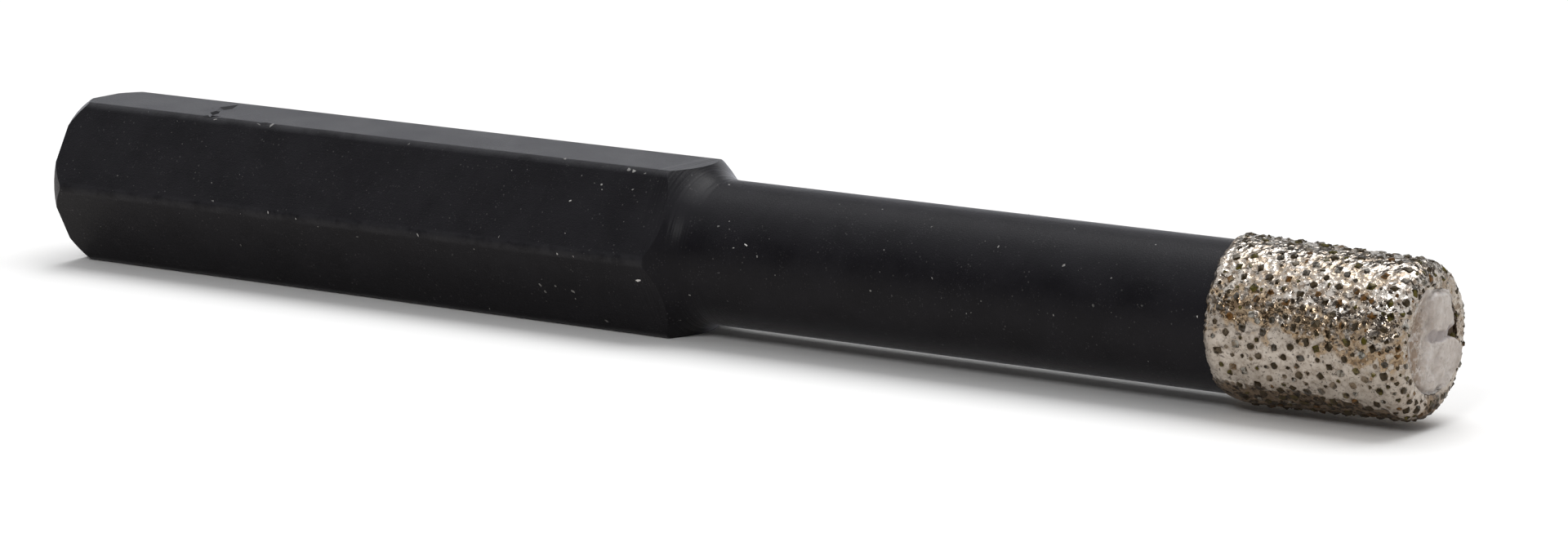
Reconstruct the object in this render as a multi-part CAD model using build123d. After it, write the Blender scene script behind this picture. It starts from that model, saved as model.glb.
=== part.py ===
from build123d import *
import math
import os
import random

# Dry diamond core bit, 8 mm. A bar of hexagon steel is turned down to a round neck and bored
# from the tip. Nickel braze wraps the tip and holds one layer of diamond crystals, and the bore
# is cast full of wax, which melts in use and cools the cut.
#
# Millimetres and degrees. The origin is on the axis, at the back end of the shank. +X points to
# the cutting tip and +Z is up. The bit lies on the hexagon flat that faces down.

# Hexagon shank
ACROSS_FLATS = 8.0
CORNER_ROUND = 0.5
SHANK_LENGTH = 35.75
BACK_FACE_RADIUS = 4.12
BACK_CHAMFER_ANGLE = 26

# Turned shoulder and neck
SHOULDER_ANGLE = 42
NECK_RADIUS = 3.45
NECK_FILLET = 2.1
TURNED_CROWN = 12
TOOL_CLEARANCE = 0.6

# Turned tip, under the braze
TIP_TAPER_START = 65.6
TIP_LENGTH = 74.5
TIP_RADIUS = 3.24
TIP_CHAMFER = 0.5

# Blind bore, as a twist drill leaves it
BORE_RADIUS = 2.55
BORE_START = 50.0
DRILL_POINT_ANGLE = 118

# Braze coat
COAT_REAR = 64.9
COAT_CREEP = 0.4
CREEP_SHARPNESS = 2.5
COAT_REAR_RADIUS = 3.74
COAT_FRONT = 74.9
COAT_FRONT_RADIUS = 3.54
RIM_ROUND = 0.9
LIP_RADIUS = 3.40
LIP_RUN = 0.4
UNDER_RUN = 0.9
COAT_FLATS = 36
RIM_STEPS = 4
MOUTH_RADIUS = 2.35
MOUTH_DEPTH = 1.8

# Diamond crystals
SEED = 8
CRYSTAL_RADIUS = 0.2
CRYSTAL_SPREAD = 0.1
CRYSTAL_PROUD = 0.03
CRYSTAL_TILT = 8
SEAT_AREA = 0.52
SEAT_JITTER = 0.22
SEAT_SPACING = 0.5
REAR_MARGIN = 0.24
MOUTH_MARGIN = 0.27
GOLDEN_TURN = 180 * (3 - math.sqrt(5))

# Wax face, with the chips broken from it
WAX_FACE = 74.85
CHIP_SIZE = 6.0

CORNER_RADIUS = ACROSS_FLATS / math.sqrt(3)
RIM_CENTRE = COAT_FRONT - RIM_ROUND


def run_of(rise, angle):
    """Length along the axis of a cone that changes its radius by rise, at an angle from the axis."""
    return rise / math.tan(math.radians(angle))


def at_angle(x, radius, angle):
    """Point at a radius from the axis. The angle is zero on +Y and grows towards +Z."""
    turn = math.radians(angle)
    return Vector(x, radius * math.cos(turn), radius * math.sin(turn))


def turned(*points):
    """Solid of revolution about X, with straight lines between (x, radius) points."""
    return revolve(make_face(Polyline(*points, close=True)), Axis.X)


def double_pyramid(half_x, half_y, half_z):
    """Eight-sided solid with a corner at each end of its three axes."""
    ends = [Vector(half_x, 0, 0), Vector(0, half_y, 0), Vector(0, 0, half_z)]
    return ConvexPolyhedron([sign * end for end in ends for sign in (1, -1)])


def hexagon_bar():
    """The stock: a hexagon bar with rounded corners, lying on a flat."""
    section = Plane.YZ * RegularPolygon(ACROSS_FLATS / 2, 6, major_radius=False)
    return extrude(fillet(section.vertices(), CORNER_ROUND), TIP_LENGTH)


def lathe_envelope():
    """What the lathe leaves of the bar: chamfered back, shoulder, neck and tapered tip."""
    clear = CORNER_RADIUS + TOOL_CLEARANCE
    chamfer_end = (run_of(clear - BACK_FACE_RADIUS, BACK_CHAMFER_ANGLE), clear)
    shoulder_top = (SHANK_LENGTH - run_of(TOOL_CLEARANCE, SHOULDER_ANGLE), clear)
    shoulder_foot = (SHANK_LENGTH + run_of(CORNER_RADIUS - NECK_RADIUS, SHOULDER_ANGLE), NECK_RADIUS)
    chamfer = RadiusArc((0, BACK_FACE_RADIUS), chamfer_end, TURNED_CROWN)
    shoulder = RadiusArc(shoulder_top, shoulder_foot, TURNED_CROWN)
    neck_and_tip = Polyline(
        shoulder_foot,
        (TIP_TAPER_START, NECK_RADIUS),
        (TIP_LENGTH - TIP_CHAMFER, TIP_RADIUS),
        (TIP_LENGTH, TIP_RADIUS - TIP_CHAMFER),
        (TIP_LENGTH, 0),
        (0, 0),
        (0, BACK_FACE_RADIUS),
    )
    outline = make_face(chamfer + Line(chamfer_end, shoulder_top) + shoulder + neck_and_tip)
    foot = outline.vertices().sort_by_distance((*shoulder_foot, 0))[0]
    return revolve(fillet(foot, NECK_FILLET), Axis.X)


def drilled_bore(end, mouth=()):
    """The bore's space, from the drill's point to its end. Mouth points narrow it near there."""
    point = BORE_START - run_of(BORE_RADIUS, DRILL_POINT_ANGLE / 2)
    return turned((point, 0), (BORE_START, BORE_RADIUS), *mouth, end, (end[0], 0))


def nicks():
    """Knocks on the top flat: three that run together across it, and a small one on its near edge."""
    top = ACROSS_FLATS / 2
    near = Pos(8.3, -2.1, top) * Rot(0, 0, 35) * double_pyramid(0.65, 0.3, 0.28)
    middle = Pos(7.9, -1.1, top) * Rot(0, 0, 112) * double_pyramid(1.3, 0.26, 0.24)
    far = Pos(7.4, 0.5, top) * Rot(0, 0, 100) * double_pyramid(1.2, 0.42, 0.22)
    edge = Pos(11.9, -2.25, top) * Rot(0, 0, 4) * double_pyramid(0.6, 0.3, 0.22)
    return [near, middle, far, edge]


def make_steel_body():
    """Shank, shoulder, neck and tip, turned and bored in one piece."""
    body = hexagon_bar() & lathe_envelope()
    return body - drilled_bore((TIP_LENGTH + 1, BORE_RADIUS)) - nicks()


def wax_space(front):
    """All the room inside: the drilled bore, then the narrower mouth that the braze leaves."""
    mouth_start = COAT_FRONT - MOUTH_DEPTH
    step = BORE_RADIUS - MOUTH_RADIUS
    mouth = [(mouth_start - step, BORE_RADIUS), (mouth_start, MOUTH_RADIUS)]
    return drilled_bore((front, MOUTH_RADIUS), mouth)


def dip_line(angle):
    """Where the braze ends on the neck. It crept further back on the +Y side than on the -Y side."""
    side = math.cos(math.radians(angle))
    return COAT_REAR - COAT_CREEP * math.tanh(CREEP_SHARPNESS * side)


def lip_run(angle):
    """Length over which the braze thins out at the dip line. The longest run is underneath."""
    underneath = (1 - math.sin(math.radians(angle))) / 2
    return LIP_RUN + UNDER_RUN * underneath**3


def coat_radius(x):
    """Radius of the coat's long taper."""
    slope = (COAT_FRONT_RADIUS - COAT_REAR_RADIUS) / (RIM_CENTRE - COAT_REAR)
    return COAT_REAR_RADIUS + slope * (x - COAT_REAR)


def rim_point(angle):
    """(x, radius) on the rounded rim, at 0 beside the taper and at 90 on the front face."""
    turn = math.radians(angle)
    centre = COAT_FRONT_RADIUS - RIM_ROUND
    return RIM_CENTRE + RIM_ROUND * math.sin(turn), centre + RIM_ROUND * math.cos(turn)


def coat_rings():
    """Rings of points round the axis that the coat's flats join, from the neck to the front face."""
    angles = [360 * i / COAT_FLATS for i in range(COAT_FLATS)]
    lip = [at_angle(dip_line(a), LIP_RADIUS, a) for a in angles]
    full = [dip_line(a) + lip_run(a) for a in angles]
    top = [at_angle(x, coat_radius(x), a) for x, a in zip(full, angles)]
    rim = [rim_point(90 * step / RIM_STEPS) for step in range(RIM_STEPS + 1)]
    return [lip, top] + [[at_angle(x, radius, a) for a in angles] for x, radius in rim]


def coat_envelope():
    """The coat's outside as a closed solid of flats, so that each crystal's seat has straight edges."""
    rings = coat_rings()
    middle_of_lip = Vector(dip_line(90), 0, 0)
    faces = [Face(Wire.make_polygon(rings[-1]))]
    for i in range(COAT_FLATS):
        j = (i + 1) % COAT_FLATS
        lip, top = rings[0], rings[1]
        for corners in ((middle_of_lip, lip[i], lip[j]), (lip[i], lip[j], top[j]), (lip[i], top[j], top[i])):
            faces.append(Face(Wire.make_polygon(corners)))
        for rear, front in zip(rings[1:], rings[2:]):
            faces.append(Face(Wire.make_polygon([rear[i], rear[j], front[j], front[i]])))
    return Solid(Shell(faces))


def coat_path(travel):
    """(x, radius, slope) after a travel along the coat's outline, forward from its rear edge."""
    taper = RIM_CENTRE - COAT_REAR
    if travel < taper:
        return COAT_REAR + travel, coat_radius(COAT_REAR + travel), 0
    angle = math.degrees((travel - taper) / RIM_ROUND)
    return *rim_point(angle), angle


def crystal_seats():
    """Seats scattered over the coat: a golden-angle spiral with equal shares of the surface, shaken up."""
    chance = random.Random(SEED)
    taken = []
    travel, turn = 0, 0
    path_length = RIM_CENTRE - COAT_REAR + RIM_ROUND * math.pi / 2
    while travel < path_length:
        x, radius, slope = coat_path(travel + chance.uniform(-SEAT_JITTER, SEAT_JITTER))
        angle = turn + math.degrees(chance.uniform(-SEAT_JITTER, SEAT_JITTER) / radius)
        lean = math.radians(slope)
        outward = at_angle(math.sin(lean), math.cos(lean), angle)
        seat = Plane(origin=at_angle(x, radius, angle) + outward * CRYSTAL_PROUD, z_dir=outward)
        tumble = Rot(
            chance.uniform(-CRYSTAL_TILT, CRYSTAL_TILT),
            chance.uniform(-CRYSTAL_TILT, CRYSTAL_TILT),
            chance.uniform(0, 360),
        )
        size = CRYSTAL_RADIUS * chance.uniform(1 - CRYSTAL_SPREAD, 1 + CRYSTAL_SPREAD)
        on_coat = x > dip_line(angle) + lip_run(angle) + REAR_MARGIN and radius > MOUTH_RADIUS + MOUTH_MARGIN
        if on_coat and all((seat.origin - other).length > SEAT_SPACING for other in taken):
            taken.append(seat.origin)
            yield seat.location * tumble, size
        travel += SEAT_AREA / (2 * math.pi * radius)
        turn += GOLDEN_TURN


def make_diamond_grit():
    """One octahedral crystal in each seat, sunk to just under its widest section."""
    return [seat * double_pyramid(size, size, size) for seat, size in crystal_seats()]


def make_braze_coat(steel_body, diamond_grit):
    """Nickel skin over the tip, its rim and the bore's mouth, with a pocket round every crystal."""
    return coat_envelope() - steel_body - wax_space(COAT_FRONT + 1) - diamond_grit


def chip(angle, reach, tilt):
    """Block that breaks a slanting chip from the wax face. Reach is how far it starts from the axis."""
    block = Pos(CHIP_SIZE / 2, reach + CHIP_SIZE / 2, 0) * Box(CHIP_SIZE, CHIP_SIZE, CHIP_SIZE)
    lean = Pos(WAX_FACE, reach, 0) * Rot(0, 0, tilt) * Pos(-WAX_FACE, -reach, 0)
    return Rot(angle, 0, 0) * lean * Pos(WAX_FACE, 0, 0) * block


def make_wax_core():
    """Wax cast into the bore, up to a face that is chipped round its edge."""
    chips = [chip(200, 0.5, 7), chip(320, 1.1, 16), chip(75, 0.9, 10), chip(140, 1.5, 22)]
    return wax_space(WAX_FACE) - chips


def main():
    steel_body = make_steel_body()
    diamond_grit = make_diamond_grit()
    nodes = {
        "steel_body": steel_body,
        "braze_coat": make_braze_coat(steel_body, diamond_grit),
        "diamond_grit": Compound(diamond_grit),
        "wax_core": make_wax_core(),
    }
    os.makedirs("parts", exist_ok=True)
    for name, solid in nodes.items():
        export_step(solid, f"parts/{name}.step", write_pcurves=False)


main()
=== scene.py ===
import math
import random

import bmesh
import bpy
import numpy as np
from mathutils import Euler, Matrix, Quaternion, Vector, kdtree, noise


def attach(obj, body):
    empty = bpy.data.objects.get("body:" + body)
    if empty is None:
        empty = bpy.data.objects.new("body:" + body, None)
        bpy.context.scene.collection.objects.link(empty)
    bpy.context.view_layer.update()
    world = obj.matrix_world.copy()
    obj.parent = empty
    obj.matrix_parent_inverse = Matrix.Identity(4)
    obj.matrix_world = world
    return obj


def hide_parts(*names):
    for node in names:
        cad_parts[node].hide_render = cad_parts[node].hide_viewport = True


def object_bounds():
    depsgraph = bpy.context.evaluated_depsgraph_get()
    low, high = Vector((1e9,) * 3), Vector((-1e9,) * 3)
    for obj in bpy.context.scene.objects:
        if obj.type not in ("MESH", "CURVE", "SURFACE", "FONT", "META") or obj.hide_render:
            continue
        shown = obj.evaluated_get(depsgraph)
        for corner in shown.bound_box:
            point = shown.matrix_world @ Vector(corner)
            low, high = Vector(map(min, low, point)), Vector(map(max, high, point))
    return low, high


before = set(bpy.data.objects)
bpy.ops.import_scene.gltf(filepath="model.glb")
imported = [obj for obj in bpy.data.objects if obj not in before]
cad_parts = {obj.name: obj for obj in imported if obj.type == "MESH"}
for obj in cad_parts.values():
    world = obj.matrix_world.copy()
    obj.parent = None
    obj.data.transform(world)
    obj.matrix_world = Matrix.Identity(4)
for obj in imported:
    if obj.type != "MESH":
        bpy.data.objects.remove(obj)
cad_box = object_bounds()

# The bit lies along +X with its tip at the high end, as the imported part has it. Lengths are in
# metres, written as millimetres times MM, unless they are said to be in mm. Angles round the axis
# run from +Y towards +Z, so the camera's side is near 180 degrees.
MM = 0.001
TURN = 2 * math.pi
SEED = 8
# Without a seed, noise_vector takes one from the clock and differs from run to run
noise.seed_set(SEED)

# Camera, fitted to the edges of the bit in the photograph
CAMERA_PLACE = Vector((187.56, -223.51, 49.26)) * MM
CAMERA_TURN = math.radians(-33.26)
CAMERA_DIP = math.radians(10.51)
CAMERA_ROLL = math.radians(0.447)
CAMERA_LENS = 133.45
SENSOR_WIDTH = 36

# Square lamps as (name, place, side, radiance), all aimed at one place, and the world's light
LAMPS = [
    ("key", Vector((0.05, 0.25, 0.75)), 0.7, 3.1),
    ("glint", Vector((0.14, -0.5, 0.36)), 0.19, 9.0),
]
LAMP_AIM = Vector((0.037, 0, 0))
WORLD_LEVEL = 0.5
# The floor is white to the camera, and has this colour for the light that it throws back
FLOOR_HALF = 6.0
FLOOR_COLOUR = (0.78, 0.745, 0.7)
# Upright cards that the steel mirrors, as (name, colour, half width, y, lowest z, highest z)
CARDS = [
    ("flag", (0.07, 0.061, 0.053), 1.5, -0.55, 0.03, 0.6),
    ("back_flag", (0.2, 0.2, 0.2), 1.2, 0.6, 0.2, 0.75),
]

# Braze coat: the same outline as the solid under it
COAT_REAR = 64.9 * MM
COAT_REAR_RADIUS = 3.74 * MM
COAT_CREEP = 0.4 * MM
COAT_FRONT = 74.9 * MM
COAT_FRONT_RADIUS = 3.54 * MM
RIM_ROUND = 0.9 * MM
RIM_CENTRE = COAT_FRONT - RIM_ROUND
RIM_CENTRE_RADIUS = COAT_FRONT_RADIUS - RIM_ROUND
LIP_RUN = 0.4 * MM
LIP_RUN_BELOW = 0.9 * MM
LIP_RADIUS = 3.40 * MM
MOUTH_RADIUS = 2.35 * MM
MOUTH_DEPTH = 1.8 * MM
TIP_LENGTH = 74.5 * MM
TIP_RADIUS = 3.24 * MM
TIP_CHAMFER = 0.5 * MM
TIP_TAPER_START = 65.6 * MM
BORE_RADIUS = 2.55 * MM
BORE_START = 50.0 * MM
BORE_POINT = 48.47 * MM

# The coat's skin: its mesh, and in mm how far it climbs a crystal and swells where it is worn
GRID_STEP = 0.062 * MM
LIP_STEPS = 9
MOUTH_STEPS = 6
MOUTH_STEP = 0.12 * MM
MENISCUS_HEIGHT = 0.055
MENISCUS_REACH = 1.15
WORN_LIFT = 0.015

# Crystals. Those of the CAD model are drawn larger and broken off flat, and smaller ones are added.
CRYSTAL_TOP = 0.088 * MM
CRYSTAL_SWELL = 1.3
CRYSTAL_SINK = 0.02 * MM
SMALL_RADIUS = 0.14 * MM
SMALL_LIFT = 0.01 * MM
SMALL_COUNT = 240
SMALL_GAP = 0.4 * MM
RIM_COUNT = 60
RIM_GAP = 0.33 * MM
TRIES = 20000
# Crystals that the photograph shows round the wax, as (y, z) in mm
SEEN_CRYSTALS = [
    (2.04, -0.04), (2.2, 0.9), (2.69, -1.9), (1.35, -2.5), (3.09, -1.23), (2.26, 1.71), (2.9, 0.3),
]
# How far a worn crystal is smeared over, by chance
COVERED = (0, 0, 0, 0, 0.3, 0.8)

# Wax face, in mm: its outline's lobes as (angle, half width in degrees, radius added)
WAX_FACE = 74.85
WAX_EDGE = 2.38
WAX_OFF_CENTRE = 0.12
WAX_LOBES = [
    (118, 16, 0.35), (57, 13, 0.2), (4, 8, -0.8), (336, 16, 0.8), (307, 14, 0.35), (235, 25, -0.15),
]
# Smooth plates that are left of it: (y, z, half width, half height, rise, slopes in y and z)
WAX_PLATES = [
    (0.72, 1.33, 1.2, 0.93, 0.13, -0.05, 0.04),
    (1.62, -0.72, 1.12, 0.74, 0.12, 0.02, 0.05),
]
# The clear hollow between them: (y, z, half width, half height)
WAX_HOLLOW = (0.7, 0.25, 1.15, 0.36)
WAX_SIDES, WAX_RINGS = 220, 46
WAX_MOUTH_RADIUS = 0.98 * MOUTH_RADIUS

# Dust and chips that show in the photograph, as (x, angle, length, tone), in mm and degrees
FLECKS = [
    (35.37, 192.8, 0.6, 0.85), (40.99, 160.1, 0.2, 0.9), (40.30, 163.2, 0.17, 0.45),
    (31.04, 146.0, 0.2, 0.6), (22.99, 180.8, 0.16, 0.4), (31.17, 181.3, 0.13, 0.5),
    (32.10, 181.6, 0.12, 0.4), (27.70, 175.7, 0.13, 0.35), (29.46, 209.0, 0.22, 0.22),
    (29.71, 202.9, 0.16, 0.2), (29.61, 214.5, 0.16, 0.15), (30.34, 208.0, 0.22, 0.18),
    (31.31, 211.0, 0.22, 0.22), (31.29, 217.5, 0.12, 0.2), (32.68, 232.7, 0.2, 0.14),
    (20.82, 121.7, 0.14, 0.25), (34.32, 133.1, 0.12, 0.4), (32.52, 132.3, 0.12, 0.4),
    (13.90, 178.7, 0.13, 0.5), (15.61, 179.9, 0.18, 0.45), (16.91, 184.2, 0.11, 0.4),
    (19.17, 187.9, 0.14, 0.15), (11.37, 209.0, 0.16, 0.12), (10.42, 176.2, 0.16, 0.2),
    (33.74, 121.2, 0.22, 0.25), (34.07, 121.3, 0.24, 0.35), (34.71, 122.4, 0.12, 0.25),
    (29.91, 118.1, 0.2, 0.3), (29.82, 112.0, 0.22, 0.2), (31.15, 114.4, 0.12, 0.35),
    (35.11, 87.3, 0.14, 0.5), (38.29, 101.3, 0.13, 0.45), (46.54, 120.0, 0.12, 0.3),
    (50.27, 124.6, 0.14, 0.35), (54.16, 136.2, 0.14, 0.3), (57.79, 145.2, 0.16, 0.3),
    (60.35, 150.8, 0.12, 0.3), (61.67, 114.4, 0.12, 0.4), (51.18, 167.7, 0.12, 0.35),
    (47.94, 183.0, 0.12, 0.25), (48.39, 150.5, 0.1, 0.3), (57.65, 183.6, 0.1, 0.25),
    (57.22, 106.3, 0.1, 0.35), (64.97, 171.2, 0.12, 0.6), (37.74, 206.9, 0.12, 0.4),
    (41.67, 167.8, 0.11, 0.25), (59.69, 172.5, 0.16, 0.07), (62.17, 167.9, 0.15, 0.06),
    (8.90, 119.4, 0.3, 0.28), (11.57, 119.8, 0.2, 0.22), (12.37, 119.8, 0.3, 0.3),
    (39.22, 148.0, 0.14, 0.2),
]
LOOSE_DUST = 420
DUST_RANGE = (1.5, 64)
DUST_SIZE = 1.3
CRUMB_POINTS = 12
RAY_START = 20 * MM

# Colours are linear red, green and blue
STEEL_DARK = (0.0074, 0.0071, 0.0094)
STEEL_LIGHT = (0.0114, 0.0110, 0.0140)
STEEL_RUBBED = (0.026, 0.026, 0.03)
STEEL_POWDER = (0.044, 0.043, 0.047)
STEEL_SPECK = (0.09, 0.088, 0.09)
STEEL_SHEEN = (0.85, 0.88, 1.0)
NICKEL_BRIGHT = (0.55, 0.51, 0.465)
NICKEL_DULL = (0.25, 0.20, 0.155)
NICKEL_CRACK = (0.06, 0.045, 0.035)
# Brown stains, and a band of painted reflection of the dark front on the camera's side
BROWN_DARK = (0.2, 0.13, 0.07)
BROWN_LIGHT = (0.44, 0.335, 0.225)
CRUST_LIGHT = (0.64, 0.585, 0.53)
CRUST_DARK = (0.46, 0.41, 0.36)
CRUST_STAIN = (0.30, 0.24, 0.185)
CRUST_HALO = (0.19, 0.135, 0.09)
# Painted shade in dark brown, for the coat's underside and the top of its rear lip
SHADE_PAINT_LIGHT = (0.3, 0.225, 0.16)
SHADE_PAINT_DARK = (0.026, 0.019, 0.014)
DIAMOND_SMOKY = (0.036, 0.025, 0.013)
# Olive, grey, amber and clear crystals, each from a share of the way through them all. The clear
# ones' pale tone is partly a painted glint.
DIAMOND_KINDS = [
    (0.45, (0.085, 0.072, 0.012)),
    (0.7, (0.09, 0.085, 0.08)),
    (0.8, (0.15, 0.07, 0.02)),
    (0.94, (0.4, 0.39, 0.36)),
]
DIAMOND_DEEP = (0.012, 0.008, 0.004)
DIAMOND_GLOSS = (0.8, 0.66, 0.45)
DIAMOND_SMEAR = (0.24, 0.19, 0.14)
DIAMOND_SHADE_PAINT = (0.045, 0.034, 0.025)
WAX_LIGHT = (0.68, 0.64, 0.62)
WAX_DARK = (0.48, 0.435, 0.41)
WAX_CRACK = (0.42, 0.37, 0.34)
WAX_GRIME = (0.33, 0.25, 0.19)
WAX_DOTS = (0.12, 0.085, 0.06)
WAX_CLEAR = (0.36, 0.32, 0.33)
WAX_RECESS_SHADE = (0.2, 0.14, 0.09)
DUST_DARK = (0.012, 0.012, 0.013)
DUST_PALE = (0.82, 0.81, 0.8)
WHITE = (1, 1, 1)


class Nodes:
    """Short way to fill a node tree. Colours are given as red, green and blue."""

    def __init__(self, tree):
        self.tree = tree
        tree.nodes.clear()

    def add(self, kind, **settings):
        node = self.tree.nodes.new("ShaderNode" + kind)
        for key, value in settings.items():
            setattr(node, key, value)
        return node

    def put(self, value, socket):
        """Links an output to a socket, or sets the socket to a number, vector or colour."""
        if isinstance(value, bpy.types.NodeSocket):
            self.tree.links.new(value, socket)
        else:
            socket.default_value = (*value, 1) if socket.type == "RGBA" else value

    def ramp(self, value, low, high, out_low=0.0, out_high=1.0):
        """A soft step from out_low to out_high, where the value goes from low to high."""
        node = self.add("MapRange", interpolation_type="SMOOTHSTEP")
        self.put(value, node.inputs["Value"])
        ends = {"From Min": low, "From Max": high, "To Min": out_low, "To Max": out_high}
        for name, number in ends.items():
            node.inputs[name].default_value = number
        return node.outputs["Result"]

    def math(self, operation, *values):
        node = self.add("Math", operation=operation)
        for value, socket in zip(values, node.inputs):
            self.put(value, socket)
        return node.outputs["Value"]

    def times(self, a, b):
        return self.math("MULTIPLY", a, b)

    def mix(self, factor, a, b):
        """Colour a where the factor is 0, and b where it is 1."""
        node = self.add("Mix", data_type="RGBA")
        self.put(factor, node.inputs["Factor"])
        self.put(a, node.inputs["A"])
        self.put(b, node.inputs["B"])
        return node.outputs["Result"]

    def paint(self, under, where, amount, colour):
        """A colour laid over the one under it, at most by the given amount."""
        return self.mix(self.times(where, amount), under, colour)


class Surface(Nodes):
    """A material with one Principled shader. Scales of its textures are per metre."""

    def __init__(self, name):
        self.material = bpy.data.materials.new(name)
        self.material.use_nodes = True
        super().__init__(self.material.node_tree)
        self.shader = self.add("BsdfPrincipled")
        self.put(self.shader.outputs["BSDF"], self.add("OutputMaterial").inputs["Surface"])
        self.place = self.add("TexCoord").outputs["Object"]

    def set(self, **values):
        for name, value in values.items():
            self.put(value, self.shader.inputs[name.replace("_", " ")])

    def attributes(self, *names):
        return [self.add("Attribute", attribute_name=name).outputs["Fac"] for name in names]

    def axis(self, name):
        node = self.add("SeparateXYZ")
        self.put(self.place, node.inputs["Vector"])
        return node.outputs[name]

    def stretched(self, *scale):
        """The place with its axes scaled, to draw a texture out along those that shrink."""
        node = self.add("VectorMath", operation="MULTIPLY")
        self.put(self.place, node.inputs[0])
        self.put(scale, node.inputs[1])
        return node.outputs["Vector"]

    def from_axis(self):
        """Distance from the bit's axis."""
        node = self.add("VectorMath", operation="LENGTH")
        self.put(self.stretched(0, 1, 1), node.inputs[0])
        return node.outputs["Value"]

    def noise(self, scale, detail, roughness=0.5, place=None):
        node = self.add("TexNoise")
        self.put(self.place if place is None else place, node.inputs["Vector"])
        for name, number in {"Scale": scale, "Detail": detail, "Roughness": roughness}.items():
            node.inputs[name].default_value = number
        return node.outputs["Fac"]

    def cells(self, scale):
        """Distance to the nearest of many scattered points, as a share of their spacing."""
        node = self.add("TexVoronoi")
        self.put(self.place, node.inputs["Vector"])
        node.inputs["Scale"].default_value = scale
        return node.outputs["Distance"]

    def scribble(self, scale, width):
        """Thin wandering lines: where a noise passes through its middle value."""
        away = self.math("ABSOLUTE", self.math("SUBTRACT", self.noise(scale, 5, 0.6), 0.5))
        return self.ramp(away, width, width * 0.3)

    def bump(self, height, distance, strength=1.0, under=None):
        """Normals bent by a height, on top of the bump under it."""
        node = self.add("Bump")
        self.put(height, node.inputs["Height"])
        self.put(distance, node.inputs["Distance"])
        self.put(strength, node.inputs["Strength"])
        if under is not None:
            self.put(under, node.inputs["Normal"])
        return node.outputs["Normal"]


def black_steel():
    """Matte black, with drawn lines, turning marks, rubbed edges and pale specks."""
    n = Surface("black_steel")
    x = n.axis("X")
    turned = n.ramp(x, 34.8 * MM, 35.8 * MM)
    shoulder = n.times(turned, n.ramp(x, 39.2 * MM, 37.5 * MM))

    cloud = n.noise(420, 4, 0.6)
    powder = n.times(n.ramp(n.cells(8000), 0.3, 0.15), n.ramp(n.noise(1600, 4, 0.7), 0.5, 0.6))
    speck = n.times(n.ramp(n.cells(3600), 0.2, 0.08), n.ramp(n.noise(900, 2), 0.52, 0.62))
    edge = n.ramp(n.from_axis(), 4.44 * MM, 4.53 * MM)
    tone = n.mix(n.ramp(cloud, 0.3, 0.7), STEEL_DARK, STEEL_LIGHT)
    tone = n.paint(tone, powder, 0.6, STEEL_POWDER)
    tone = n.paint(tone, speck, 0.5, STEEL_SPECK)
    tone = n.paint(tone, n.times(edge, n.ramp(n.noise(700, 4, 0.7), 0.3, 0.6)), 0.8, STEEL_RUBBED)

    drawn_lines = n.noise(9000, 2, place=n.stretched(0.02, 1, 1))
    turning = n.noise(11000, 2, place=n.stretched(1, 0.03, 0.03))
    grooves = n.noise(5200, 2, place=n.stretched(1, 0.02, 0.02))
    lines = n.mix(turned, drawn_lines, turning)
    normal = n.bump(lines, 0.006 * MM, n.ramp(shoulder, 0, 1, 0.5, 1.0))
    normal = n.bump(n.times(grooves, shoulder), 0.03 * MM, 1.0, normal)
    grain = n.noise(14000, 3, 0.6)
    normal = n.bump(grain, 0.012 * MM, n.ramp(shoulder, 0, 1, 1.0, 0.4), normal)

    n.set(Base_Color=tone, Roughness=n.ramp(cloud, 0.3, 0.7, 0.34, 0.42), Normal=normal)
    n.set(Specular_IOR_Level=0.11, Sheen_Weight=0.7, Sheen_Roughness=0.25, Sheen_Tint=STEEL_SHEEN)
    return n.material


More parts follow.
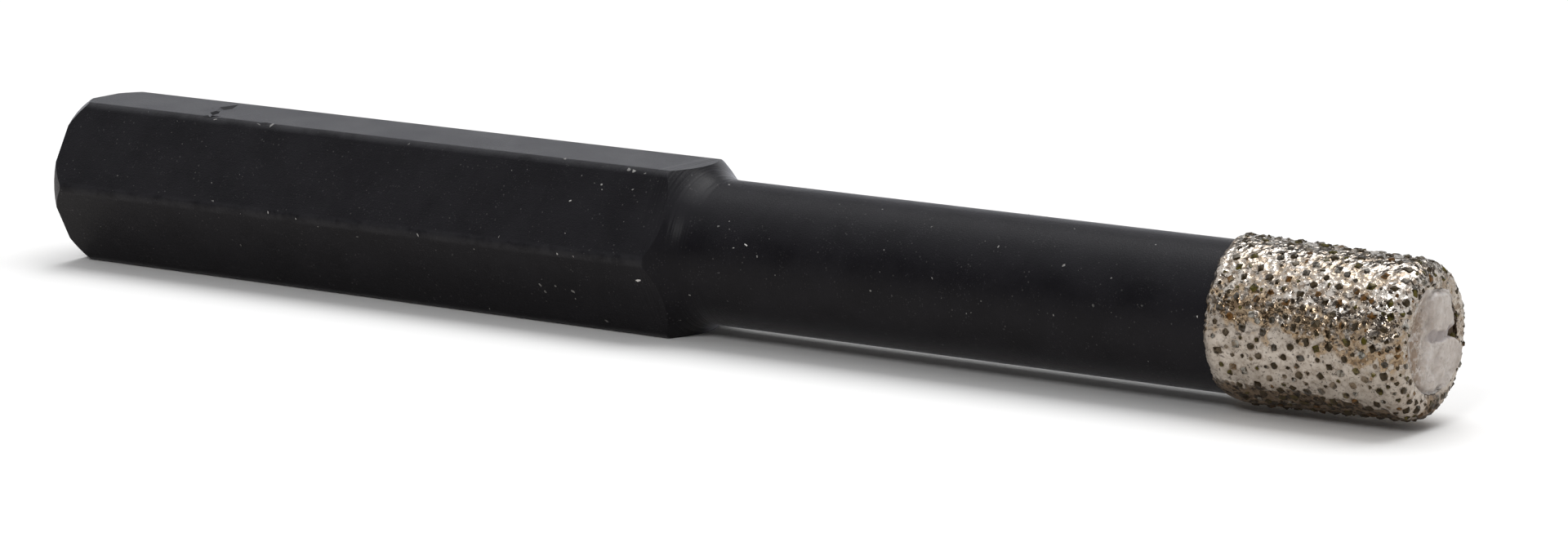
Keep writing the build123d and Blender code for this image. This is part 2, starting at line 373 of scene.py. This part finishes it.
def nickel_braze():
    """Bright nickel that froze in lumps round the crystals, with brown stains, a band of painted
    reflection, worn areas and painted shade.
    """
    n = Surface("nickel_braze")
    # The stain share holds brown stains and a band of painted reflection of the dark front; the
    # shade share is painted shade on the underside and along the top of the rear lip
    worn, stain, soot, rim = n.attributes("worn", "stain", "soot", "rim")
    lumps = n.noise(3000, 2.4, 0.52)
    blotch = n.noise(3600, 4, 0.65)

    bright = n.mix(n.ramp(blotch, 0.42, 0.62), NICKEL_BRIGHT, NICKEL_DULL)
    brown = n.mix(n.ramp(blotch, 0.4, 0.58), BROWN_DARK, BROWN_LIGHT)
    browned = n.times(stain, n.ramp(lumps, 0.58, 0.5, 0.1, 1.0))
    metal = n.mix(browned, bright, brown)

    crust = n.mix(n.ramp(n.noise(1500, 4, 0.6), 0.35, 0.7), CRUST_LIGHT, CRUST_DARK)
    crust = n.paint(crust, n.ramp(n.noise(4800, 4, 0.75), 0.47, 0.62), 0.55, CRUST_STAIN)
    halo = n.times(n.ramp(rim, 0.3, 0.65, 0, 0.8), n.ramp(n.noise(2600, 3, 0.6), 0.34, 0.52))
    tone = n.mix(worn, metal, n.mix(halo, crust, CRUST_HALO))

    cracks = n.times(n.scribble(1700, 0.012), n.ramp(n.noise(2100, 3), 0.5, 0.58))
    pits = n.ramp(n.noise(6000, 2, 0.7), 0.6, 0.66)
    tone = n.paint(tone, n.math("MAXIMUM", cracks, pits), 0.8, NICKEL_CRACK)
    # Painted shade: dark brown laid on the underside and along the top of the rear lip
    shade_tone = n.mix(n.ramp(n.noise(2600, 5, 0.75), 0.46, 0.56), SHADE_PAINT_LIGHT, SHADE_PAINT_DARK)
    tone = n.paint(tone, soot, 0.9, shade_tone)

    residue = n.ramp(n.noise(3300, 3, 0.6), 0.5, 0.44)
    dull = n.math("MAXIMUM", n.times(browned, residue), n.times(worn, 0.5))
    rough = n.math("ADD", n.ramp(lumps, 0.3, 0.7, 0.11, 0.25), n.times(stain, 0.08))
    rough = n.math("ADD", rough, n.times(n.math("MAXIMUM", worn, soot), 0.28))

    lively = n.math("SUBTRACT", 1, n.times(worn, 0.7))
    normal = n.bump(n.times(lumps, lively), 0.066 * MM)
    normal = n.bump(n.times(n.cells(4000), lively), 0.045 * MM, 0.9, normal)
    normal = n.bump(n.noise(12000, 2), 0.006 * MM, 0.7, normal)

    n.set(Base_Color=tone, Metallic=n.math("SUBTRACT", 1, n.times(dull, 0.9)))
    n.set(Roughness=rough, Normal=normal)
    return n.material


def diamond():
    """Dark, glassy industrial diamond, of another kind from one crystal to the next."""
    n = Surface("diamond")
    chance = n.add("NewGeometry").outputs["Random Per Island"]
    covered, soot = n.attributes("covered", "soot")
    tone = DIAMOND_SMOKY
    for start, colour in DIAMOND_KINDS:
        tone = n.mix(n.math("GREATER_THAN", chance, start), tone, colour)
    tone = n.mix(n.ramp(n.noise(5200, 2), 0.35, 0.65), DIAMOND_DEEP, tone)
    smear = n.times(covered, n.ramp(n.noise(4200, 3), 0.35, 0.6))
    tone = n.mix(smear, tone, DIAMOND_SMEAR)
    # Painted shade on the crystals of the underside and of the rear lip's top
    tone = n.paint(tone, soot, 0.6, DIAMOND_SHADE_PAINT)
    rough = n.math("ADD", 0.2, n.times(n.math("MAXIMUM", smear, soot), 0.3))
    n.set(Base_Color=tone, Roughness=rough, IOR=1.42, Specular_Tint=DIAMOND_GLOSS)
    return n.material


def wax():
    """Cloudy white wax, with dirt rubbed into its rough side, which is the camera's, and painted
    shade at its notch.
    """
    n = Surface("wax")
    clear, dirt = n.attributes("clear", "dirt")
    near = n.ramp(n.axis("Y"), -0.3 * MM, -1.8 * MM)
    tone = n.mix(n.ramp(n.noise(900, 4, 0.6), 0.35, 0.7), WAX_LIGHT, WAX_DARK)
    tone = n.paint(tone, n.scribble(800, 0.02), 0.45, WAX_CRACK)
    grime = n.ramp(n.noise(2400, 4, 0.7), 0.4, 0.56)
    tone = n.mix(n.times(grime, n.ramp(near, 0, 1, 0.2, 1.0)), tone, WAX_GRIME)
    dots = n.ramp(n.noise(5200, 3, 0.7), 0.6, 0.66)
    tone = n.paint(tone, n.times(dots, n.ramp(near, 0, 1, 0.3, 1.0)), 0.8, WAX_DOTS)
    tone = n.paint(tone, clear, 0.75, WAX_CLEAR)
    # Painted shade: dark brown at the edge of the notch and on the sides down in the mouth
    tone = n.paint(tone, dirt, 0.9, WAX_RECESS_SHADE)
    n.set(Base_Color=tone, Roughness=0.4, IOR=1.44)
    n.set(Normal=n.bump(n.noise(5200, 3), 0.02 * MM, 0.6))
    n.set(Subsurface_Weight=0.3, Subsurface_Radius=(1.0, 0.8, 0.7), Subsurface_Scale=0.5 * MM)
    return n.material


def dust():
    """Pale flecks, each with its own tone."""
    n = Surface("dust")
    (pale,) = n.attributes("pale")
    mottle = n.ramp(n.noise(12000, 2), 0.3, 0.7, 0.75, 1.1)
    n.set(Base_Color=n.mix(n.times(pale, mottle), DUST_DARK, DUST_PALE), Roughness=0.8)
    return n.material


def mesh_object(name, points, faces, material, smooth=True):
    mesh = bpy.data.meshes.new(name)
    mesh.from_pydata([tuple(p) for p in points], [], [tuple(f) for f in faces])
    mesh.validate()
    mesh.polygons.foreach_set("use_smooth", [smooth] * len(mesh.polygons))
    mesh.materials.append(material)
    made = bpy.data.objects.new(name, mesh)
    bpy.context.scene.collection.objects.link(made)
    return made


def point_values(made, **values):
    """Keeps a number for each point under each name, for the material."""
    for name, numbers in values.items():
        attribute = made.data.attributes.new(name, "FLOAT", "POINT")
        attribute.data.foreach_set("value", np.asarray(numbers, dtype=np.float32))


def islands(node):
    """The corner points of each separate solid of a CAD node, whose faces share no vertices."""
    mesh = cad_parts[node].data
    points = np.empty(len(mesh.vertices) * 3)
    mesh.vertices.foreach_get("co", points)
    points = points.reshape(-1, 3)
    keys = np.round(points / (0.0005 * MM)).astype(np.int64)
    _, merged = np.unique(keys, axis=0, return_inverse=True)
    merged = merged.reshape(-1)
    parent = list(range(merged.max() + 1))

    def root(i):
        while parent[i] != i:
            parent[i] = parent[parent[i]]
            i = parent[i]
        return i

    for polygon in mesh.polygons:
        first, *others = (root(merged[v]) for v in polygon.vertices)
        for other in others:
            parent[root(other)] = root(first)
    groups = {}
    for i, key in enumerate(merged):
        groups.setdefault(root(key), {})[key] = points[i]
    return [np.array(list(group.values())) for group in groups.values()]


def step(value, low, high):
    """A soft step from 0 at low to 1 at high, which may be the smaller of the two."""
    t = min(1.0, max(0.0, (value - low) / (high - low)))
    return t * t * (3 - 2 * t)


def lobe(angle, centre, width):
    """Bell-shaped share round an angle, in degrees."""
    away = (angle - centre + 180) % 360 - 180
    return math.exp(-((away / width) ** 2))


def circle_noise(angle, scale, seed):
    """A noise that closes on itself round the axis."""
    return noise.noise(Vector((scale * math.cos(angle), scale * math.sin(angle), seed)))


def around(x, radius, angle):
    """Points at a radius from the axis, at an array of angles in radians."""
    parts = np.broadcast_arrays(x, radius * np.cos(angle), radius * np.sin(angle))
    return np.stack(parts, -1)


def coat_radius(x):
    slope = (COAT_FRONT_RADIUS - COAT_REAR_RADIUS) / (RIM_CENTRE - COAT_REAR)
    return COAT_REAR_RADIUS + slope * (x - COAT_REAR)


def coat_rear(angle):
    """Where the braze ends on the neck: it crept back on one side."""
    return COAT_REAR - COAT_CREEP * np.tanh(2.5 * np.cos(angle))


def lip_run(angle):
    """How far the braze's rear lip runs along the neck, which is further below."""
    return LIP_RUN + LIP_RUN_BELOW * ((1 - np.sin(angle)) / 2) ** 3


def rim_front(radius):
    """x of the coat's front at a radius from the axis."""
    over = max(0.0, radius - RIM_CENTRE_RADIUS)
    return RIM_CENTRE + math.sqrt(max(0.0, RIM_ROUND**2 - over**2))


def wear(p):
    """(worn, stain and painted reflection, painted shade) shares at a point in mm.

    Down the camera's side the braze is bright, then a brown band of painted reflection of the dark
    front, then worn to a pale crust, then dark with painted shade below.
    """
    angle = math.degrees(math.atan2(p.z, p.y)) % 360
    ragged = angle + 16 * noise.noise(p * 0.8) + 9 * noise.noise(p * 2.4 + Vector((7, 0, 0)))
    along = min(1.0, max(0.0, (p.x - 65) / 9.5))
    crust_start = 172 + 26 * along**1.5
    crust_end = 220 + 17 * along**3 + 20 * step(p.x, 73.7, 74.7)
    crust_end += 5 * noise.noise(p * 1.3 + Vector((2, 8, 4))) + 6 * noise.noise(p * 3.7)
    crust = step(ragged, crust_start - 4, crust_start + 4) * step(angle, crust_end, crust_end - 3)
    crust *= 1 - 0.75 * step(p.x, 73.9, 74.4) * step(angle, 215, 200)
    far_side = not 80 < angle < 250
    far_crust = far_side * step(noise.noise(p * 0.42 + Vector((3, 5, 1))), 0.2, 0.3)
    worn = max(crust, 0.8 * far_crust)

    # Brown band of painted reflection of the dark front, and random brown stains elsewhere
    reflection_band = step(ragged, crust_start - 38, crust_start - 22)
    reflection_band *= step(ragged, crust_start + 8, crust_start - 2)
    blotch = step(noise.noise(p * 0.7 + Vector((11, 2, 9))), 0.05, 0.25)
    stained = max(0.95 * reflection_band, 0.45 * blotch) * (1 - 0.8 * worn)

    # Painted shade: below the crust, and along the top of the rear lip
    below = step(angle, crust_end - 1, crust_end + 2) * step(ragged, 300, 275)
    past_lip = p.x - coat_rear(math.radians(angle)) / MM
    lip_top = step(past_lip, 0.42, 0.27) * lobe(angle, 80, 35)
    return worn, stained, max(below, lip_top)


def coat_outline(angle):
    """Rings along the coat's outside, from its rear lip round the rim and into the mouth.

    Each is (x, radius, outward x, outward radius, share of the lumps).
    """
    ragged = np.zeros(len(angle))
    for scale, seed, high in ((3, 5, 0.10), (9, 2, 0.08), (26, 7, 0.07)):
        ragged += [high * circle_noise(a, scale, seed) for a in angle]
    rear = coat_rear(angle) + ragged * MM
    run = lip_run(angle)
    start = rear + run
    rings = []
    for i in range(LIP_STEPS + 1):
        t = i / LIP_STEPS
        radius = LIP_RADIUS + (coat_radius(start) - LIP_RADIUS) * math.sin(t * math.pi / 2)
        rings.append((rear + run * t, radius, -0.3 * (1 - t), 1, min(1.0, 2 * t)))

    def shares(length):
        steps = int(length / GRID_STEP)
        return [i / steps for i in range(1, steps + 1)]

    for t in shares(RIM_CENTRE - COAT_REAR):
        x = start + (RIM_CENTRE - start) * t
        rings.append((x, coat_radius(x), 0, 1, 1))
    for t in shares(RIM_ROUND * math.pi / 2):
        out_x, out_radius = math.sin(t * math.pi / 2), math.cos(t * math.pi / 2)
        x = RIM_CENTRE + RIM_ROUND * out_x
        rings.append((x, RIM_CENTRE_RADIUS + RIM_ROUND * out_radius, out_x, out_radius, 1))
    flat = RIM_CENTRE_RADIUS - MOUTH_RADIUS
    rings += [(COAT_FRONT, RIM_CENTRE_RADIUS - flat * t, 1, 0, 1) for t in shares(flat)]
    for i in range(1, MOUTH_STEPS + 1):
        rings.append((COAT_FRONT - MOUTH_STEP * i, MOUTH_RADIUS, 0, 0, 0))
    return rings


def coat_inside():
    """Rings that close the coat along the steel under it."""
    mouth_end = COAT_FRONT - MOUTH_DEPTH
    outline = [
        (mouth_end, MOUTH_RADIUS),
        (mouth_end, BORE_RADIUS),
        (TIP_LENGTH, BORE_RADIUS),
        (TIP_LENGTH, TIP_RADIUS - TIP_CHAMFER),
        (TIP_LENGTH - TIP_CHAMFER, TIP_RADIUS),
        (TIP_TAPER_START, LIP_RADIUS),
    ]
    return [(x, radius, 0, 0, 0) for x, radius in outline]


def near_crystals(points, crystals):
    """How near each point is to a crystal: 0 away from all, almost 1 beside one."""
    tree = kdtree.KDTree(len(points))
    for i, p in enumerate(points):
        tree.insert(p, i)
    tree.balance()
    bare = np.ones(len(points))
    for corners in crystals:
        centre = corners.mean(0)
        reach = MENISCUS_REACH * np.linalg.norm(corners - centre, axis=1).mean()
        for _, i, distance in tree.find_range(centre, 2.4 * reach):
            bare[i] *= 1 - 0.95 * math.exp(-((distance / reach) ** 2))
    return 1 - bare


def build_coat(crystals, material):
    """The braze as one closed, lumpy skin that climbs every crystal."""
    sides = int(TURN * COAT_REAR_RADIUS / GRID_STEP)
    angle = np.arange(sides) * TURN / sides
    rings = coat_outline(angle) + coat_inside()
    base = np.concatenate([around(x, radius, angle) for x, radius, *_ in rings])
    outward = np.concatenate([around(x, radius, angle) for _, _, x, radius, _ in rings])
    share = np.repeat([ring[-1] for ring in rings], sides)
    height, worn, stain, soot, rim = np.zeros((5, len(base)))
    live = np.flatnonzero(share)
    rim[live] = near_crystals(base[live], crystals)
    for k in live:
        p = Vector(base[k]) / MM
        worn[k], stain[k], soot[k] = wear(p)
        swell = 0.03 * noise.noise(p * 0.9)
        ripple = 0.03 * noise.noise(p * 2.6) + 0.024 * noise.noise(p * 6.0)
        lumps = (ripple * (1 - rim[k]) + MENISCUS_HEIGHT * rim[k]) * (1 - 0.7 * worn[k])
        height[k] = WORN_LIFT * worn[k] + swell + lumps
    points = base + outward * (height * MM * share)[:, None]
    faces = []
    for r in range(len(rings)):
        here, there = r * sides, (r + 1) % len(rings) * sides
        for i in range(sides):
            j = (i + 1) % sides
            faces.append((here + i, here + j, there + j, there + i))
    coat = mesh_object("braze_skin", points, faces, material)
    point_values(coat, worn=worn, stain=stain, soot=soot, rim=rim)
    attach(coat, "root")
    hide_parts("braze_coat")


def outward_at(p):
    """Direction away from the coat at a point on or near it."""
    x, y, z = p
    radial = Vector((0, y, z)).normalized()
    if x <= RIM_CENTRE:
        return radial
    return (Vector((x - RIM_CENTRE, y, z)) - radial * RIM_CENTRE_RADIUS).normalized()


def on_coat(travel):
    """(x, radius) on the coat's outside, by the way gone along it from its rear edge."""
    x = COAT_REAR + travel
    if x <= RIM_CENTRE:
        return x, coat_radius(x)
    turn = (x - RIM_CENTRE) / RIM_ROUND
    return RIM_CENTRE + RIM_ROUND * math.sin(turn), RIM_CENTRE_RADIUS + RIM_ROUND * math.cos(turn)


def octahedron(place, size, chance):
    """The six corners of an octahedron in a chance position."""
    spin = Euler([chance.uniform(0, 6.28) for _ in range(3)]).to_matrix()
    place = place + outward_at(place) * SMALL_LIFT
    ends = [spin @ Vector(axis) * size for axis in ((1, 0, 0), (0, 1, 0), (0, 0, 1))]
    return np.array([place + sign * end for end in ends for sign in (1, -1)])


def small_crystals(taken):
    """More octahedra, in the gaps between the places that are taken."""
    chance = random.Random(SEED)
    taken = [Vector(c) for c in taken]
    made = []
    for y, z in SEEN_CRYSTALS:
        radius = math.hypot(y, z) * MM
        x = rim_front(radius)
        if radius < 0.95 * MOUTH_RADIUS:
            x -= MOUTH_STEP
        place = Vector((x, y * MM, z * MM))
        taken.append(place)
        made.append(octahedron(place, 1.1 * SMALL_RADIUS, chance))
    rim_start = RIM_CENTRE - COAT_REAR
    kinds = [(SMALL_COUNT, 0.4 * MM, SMALL_GAP), (RIM_COUNT, rim_start, RIM_GAP)]
    for count, start, gap in kinds:
        wanted = len(made) + count
        for _ in range(TRIES):
            angle = chance.uniform(0, TURN)
            x, radius = on_coat(chance.uniform(start, rim_start + 1.5 * MM))
            if len(made) == wanted or x < coat_rear(angle) + lip_run(angle) + 0.1 * MM:
                continue
            place = Vector((x, radius * math.cos(angle), radius * math.sin(angle)))
            if all((place - other).length > gap for other in taken):
                taken.append(place)
                made.append(octahedron(place, SMALL_RADIUS * chance.uniform(0.75, 1.15), chance))
    return made


def blocky(corners, swell, top, chance):
    """Corners of a cubo-octahedron from the six of an octahedron, broken off at the top."""
    centre = corners.mean(0)
    out = np.array(outward_at(centre))
    middle = centre - out * CRYSTAL_SINK
    stretch = np.array([chance.uniform(0.8, 1.15) for _ in range(3)])
    corners = middle + (corners - centre) * swell * stretch
    face = Vector(out) + Vector([chance.uniform(-0.3, 0.3) for _ in range(3)])
    face = np.array(face.normalized())
    cut = chance.uniform(0.1, 0.42)
    points = []
    for a in corners:
        for b in corners:
            same = np.linalg.norm(a - b) <= 1e-7
            opposite = np.linalg.norm(a + b - 2 * middle) <= 1e-7
            if not (same or opposite):
                p = a + (b - a) * (cut + chance.uniform(-0.12, 0.12))
                over = (p - middle) @ face - top * chance.uniform(0.9, 1.05)
                points.append(p - face * max(0.0, over))
    return points


class Hulls:
    """Gathers convex hulls into one mesh, with values for the points of each."""

    def __init__(self):
        self.points, self.faces, self.values = [], [], {}

    def add(self, points, **values):
        bm = bmesh.new()
        for p in points:
            bm.verts.new(p)
        made = bmesh.ops.convex_hull(bm, input=bm.verts)
        spare = set(made["geom_interior"] + made["geom_unused"])
        spare = [part for part in spare if isinstance(part, bmesh.types.BMVert)]
        bmesh.ops.delete(bm, geom=spare, context="VERTS")
        bm.verts.index_update()
        first = len(self.points)
        self.points += [v.co.copy() for v in bm.verts]
        self.faces += [[first + v.index for v in f.verts] for f in bm.faces]
        for name, value in values.items():
            self.values.setdefault(name, []).extend([value] * len(bm.verts))
        bm.free()

    def build(self, name, material):
        made = mesh_object(name, self.points, self.faces, material, smooth=False)
        point_values(made, **self.values)
        return made


def build_grit(crystals, material):
    """Each crystal as a block with its corners cut off, at the place of its octahedron."""
    chance, cover = random.Random(SEED), random.Random(SEED)
    hulls = Hulls()
    for corners in crystals:
        centre = corners.mean(0)
        worn, _, soot = wear(Vector(centre) / MM)
        # Round the rim, those of the far side stand out less, for the outline's sake
        far_rim = centre[0] > RIM_CENTRE and centre[1] > 0
        top = CRYSTAL_TOP * (0.55 if far_rim else 1)
        swell = CRYSTAL_SWELL * (1 - 0.05 * worn - 0.08 * far_rim)
        covered = worn * cover.choice(COVERED)
        hulls.add(blocky(corners, swell, top, chance), covered=covered, soot=soot)
    grit = hulls.build("grit_crystals", material)
    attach(grit, "root")
    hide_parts("diamond_grit")


def patch(p, y, z, half_y, half_z, edge):
    """1 inside a rounded box round (y, z) and 0 outside, with a soft edge, a share of its size."""
    away = (abs((p.y - y) / half_y) ** 2.6 + abs((p.z - z) / half_z) ** 2.6) ** (1 / 2.6)
    return step(away, 1 + edge / 2, 1 - edge / 2)


def wax_edge(angle):
    """Radius of the wax face's outline in mm."""
    degrees = math.degrees(angle)
    edge = WAX_EDGE - WAX_OFF_CENTRE * math.cos(angle)
    edge += sum(amount * lobe(degrees, centre, width) for centre, width, amount in WAX_LOBES)
    return edge + 0.07 * circle_noise(angle, 4, 1) + 0.05 * circle_noise(angle, 13, 4)


def wax_height(p, radius, edge):
    """(how far the wax face stands out, how clear it is) at a point, in mm."""
    bent = p + 0.35 * noise.noise_vector(p * 1.1)
    ragged = p + 0.12 * noise.noise_vector(p * 1.7) + 0.05 * noise.noise_vector(p * 5.0)
    nearest, second, *_ = noise.voronoi(bent * 0.9)[0]
    flakes = 0.5 * (second - nearest)
    rough = step(p.y, 0, -1)
    grain = noise.noise(p * 2.2) * 0.08 + noise.noise(p * 6.0) * 0.05 * (0.4 + rough)
    plate = rise = 0.0
    for y, z, half_y, half_z, high, slope_y, slope_z in WAX_PLATES:
        here = patch(ragged, y, z, half_y, half_z, 0.14)
        plate = max(plate, here)
        rise = max(rise, here * (high + slope_y * (p.y - y) + slope_z * (p.z - z)))
    hollow = patch(ragged, *WAX_HOLLOW, 0.3) * (1 - plate)
    worn_edge = 0.3 * step(radius / edge, 0.86, 1.0) if radius < 2.3 else 0
    rest = (0.45 * flakes - 0.12 * rough + grain) * (1 - 0.8 * plate)
    return 0.02 + rise + rest - 0.07 * hollow - worn_edge, hollow


def wax_spot(angle, share):
    """(point, clear share, share of painted shade) of the wax face in mm, part of the way to its
    edge.
    """
    edge = wax_edge(angle)
    radius = edge * share
    p = Vector((0, radius * math.cos(angle), radius * math.sin(angle)))
    height, hollow = wax_height(p, radius, edge)
    rim = rim_front(radius * MM) / MM
    film = rim + 0.09 * math.sin(min(1, (edge - radius) / 0.25) * math.pi / 2) - 0.04
    lap = step(radius, 2.15, 2.45)
    p.x = (WAX_FACE + height) * (1 - lap) + film * lap
    if share == 1:
        p.x = min(p.x, rim) - 0.12
    # Painted shade near the outline where it dips into the notch
    return p, hollow, step(edge, 1.98, 1.86) * step(share, 0.9, 0.99)


def build_wax(material):
    """The wax as one closed solid: a chipped face that laps over the rim, and the bore behind."""
    angles = [TURN * i / WAX_SIDES for i in range(WAX_SIDES)]
    points, clear, dirt = [Vector((WAX_FACE, 0, 0)) * MM], [0.0], [0.0]
    for k in range(1, WAX_RINGS + 1):
        for angle in angles:
            p, hollow, dirty = wax_spot(angle, k / WAX_RINGS)
            points.append(p * MM)
            clear.append(hollow)
            dirt.append(dirty)
    mouth_end = COAT_FRONT - MOUTH_DEPTH
    behind = [
        (COAT_FRONT - 0.25 * MM, WAX_MOUTH_RADIUS),
        (mouth_end, WAX_MOUTH_RADIUS),
        (mouth_end - (BORE_RADIUS - MOUTH_RADIUS), BORE_RADIUS),
        (BORE_START, BORE_RADIUS),
    ]
    for x, radius in behind:
        points += list(around(x, radius, np.array(angles)))
    points.append(Vector((BORE_POINT, 0, 0)))
    hidden = len(points) - len(clear)
    clear += [0.0] * hidden
    # The sides down in the mouth and the bore get full painted shade
    dirt += [1.0] * hidden

    pairs = [(i, (i + 1) % WAX_SIDES) for i in range(WAX_SIDES)]
    faces = [(0, 1 + i, 1 + j) for i, j in pairs]
    rings = WAX_RINGS + len(behind)
    for k in range(rings - 1):
        near, far = 1 + k * WAX_SIDES, 1 + (k + 1) * WAX_SIDES
        faces += [(near + i, far + i, far + j, near + j) for i, j in pairs]
    last, point = 1 + (rings - 1) * WAX_SIDES, len(points) - 1
    faces += [(last + j, last + i, point) for i, j in pairs]
    plug = mesh_object("wax_plug", points, faces, material)
    point_values(plug, clear=clear, dirt=dirt)
    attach(plug, "root")
    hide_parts("wax_core")


def surface_spot(body, x, angle):
    """Point and normal on the steel, or None for both where there is none."""
    out = Vector((0, math.cos(math.radians(angle)), math.sin(math.radians(angle))))
    start = Vector((x * MM, 0, 0)) + out * RAY_START
    hit, place, normal, _ = body.ray_cast(start, -out)
    return (place, normal) if hit else (None, None)


def crumb(place, normal, length, chance):
    """Points of a flat crumb that lies on the steel."""
    side = normal.orthogonal().normalized()
    side.rotate(Quaternion(normal, chance.uniform(0, 6.28)))
    other = normal.cross(side)
    narrow = chance.uniform(0.35, 0.8)
    points = []
    for _ in range(CRUMB_POINTS):
        turn, level = chance.uniform(0, 6.28), chance.uniform(-0.2, 0.12)
        reach = 0.5 * math.sqrt(1 - (level / 0.22) ** 2) * chance.uniform(0.8, 1.0)
        offset = side * math.cos(turn) * reach + other * math.sin(turn) * reach * narrow
        points.append(place + (offset + normal * level * 0.6) * length * DUST_SIZE * MM)
    return points


def build_dust(body, material):
    """Flecks of dust and small bright chips, each a closed crumb lying on the steel."""
    chance = random.Random(SEED)
    spots = list(FLECKS)
    for _ in range(LOOSE_DUST):
        x, angle = chance.uniform(*DUST_RANGE), chance.uniform(0, 360)
        spots.append((x, angle, chance.uniform(0.035, 0.09), 0.02 + 0.4 * chance.random() ** 2.5))
    hulls = Hulls()
    for x, angle, length, tone in spots:
        place, normal = surface_spot(body, x, angle)
        # The flat that the bit lies on stays clear, so that nothing goes through the floor
        if place is not None and normal.z >= -0.95:
            hulls.add(crumb(place, normal, length, chance), pale=tone)
    flecks = hulls.build("dust_flecks", material)
    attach(flecks, "root")


def stage_mesh(name, corners, material):
    made = mesh_object(name, corners, [tuple(range(len(corners)))], material, smooth=False)
    return made


def soft_light(name, place, size, radiance):
    """Square lamp that the camera doesn't see."""
    light = bpy.data.lights.new(name, "AREA")
    light.shape = "SQUARE"
    light.size = size
    light.energy = radiance * size**2 * math.pi
    lamp = bpy.data.objects.new(name, light)
    lamp.location = place
    lamp.rotation_mode = "QUATERNION"
    lamp.rotation_quaternion = (place - LAMP_AIM).to_track_quat("Z", "Y")
    lamp.visible_camera = False
    bpy.context.scene.collection.objects.link(lamp)


def build_world():
    """Soft light all round, which is full white to the camera and in gloss and glass."""
    world = bpy.data.worlds.new("studio")
    world.use_nodes = True
    n = Nodes(world.node_tree)
    rays = n.add("LightPath").outputs
    seen = n.math("MAXIMUM", rays["Is Camera Ray"], rays["Is Glossy Ray"])
    seen = n.math("MAXIMUM", seen, rays["Is Transmission Ray"])
    background = n.add("Background")
    n.put(WHITE, background.inputs["Color"])
    n.put(n.ramp(seen, 0, 1, WORLD_LEVEL, 1.0), background.inputs["Strength"])
    n.put(background.outputs["Background"], n.add("OutputWorld").inputs["Surface"])
    bpy.context.scene.world = world


def build_stage():
    """The floor, the cards, the lamps and the world."""
    floor = Surface("floor")
    seen = floor.add("LightPath").outputs["Is Camera Ray"]
    floor.set(Base_Color=floor.mix(seen, FLOOR_COLOUR, WHITE), Roughness=1.0, Specular_IOR_Level=0)
    h, z = FLOOR_HALF, cad_box[0].z
    stage_mesh("floor", [(-h, -h, z), (h, -h, z), (h, h, z), (-h, h, z)], floor.material)
    for name, colour, h, y, low, high in CARDS:
        paper = Surface(name)
        paper.set(Base_Color=colour, Roughness=1.0, Specular_IOR_Level=0)
        corners = [(-h, y, low), (h, y, low), (h, y, high), (-h, y, high)]
        card = stage_mesh(name, corners, paper.material)
        card.visible_camera = False
    for lamp in LAMPS:
        soft_light(*lamp)
    build_world()


def build_camera():
    camera = bpy.data.cameras.new("camera")
    camera.lens = CAMERA_LENS
    camera.sensor_width = SENSOR_WIDTH
    camera.clip_start = 0.01
    turn, dip, roll = CAMERA_TURN, CAMERA_DIP, CAMERA_ROLL
    flat = math.cos(dip)
    ahead = Vector((flat * math.sin(turn), flat * math.cos(turn), -math.sin(dip)))
    level_right = Vector((math.cos(turn), -math.sin(turn), 0))
    level_up = level_right.cross(ahead)
    right = math.cos(roll) * level_right + math.sin(roll) * level_up
    up = math.cos(roll) * level_up - math.sin(roll) * level_right
    axes = Matrix((right, up, -ahead)).transposed().to_4x4()
    made = bpy.data.objects.new("camera", camera)
    made.matrix_world = Matrix.Translation(CAMERA_PLACE) @ axes
    bpy.context.scene.collection.objects.link(made)
    bpy.context.scene.camera = made


build_camera()
build_stage()
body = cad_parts["steel_body"]
steel = black_steel()
for entry in body.material_slots:
    entry.material = steel
crystals = islands("diamond_grit")
crystals += small_crystals([corners.mean(0) for corners in crystals])
build_coat(crystals, nickel_braze())
build_grit(crystals, diamond())
build_wax(wax())
build_dust(body, dust())

bpy.context.scene.view_settings.view_transform = "Standard"
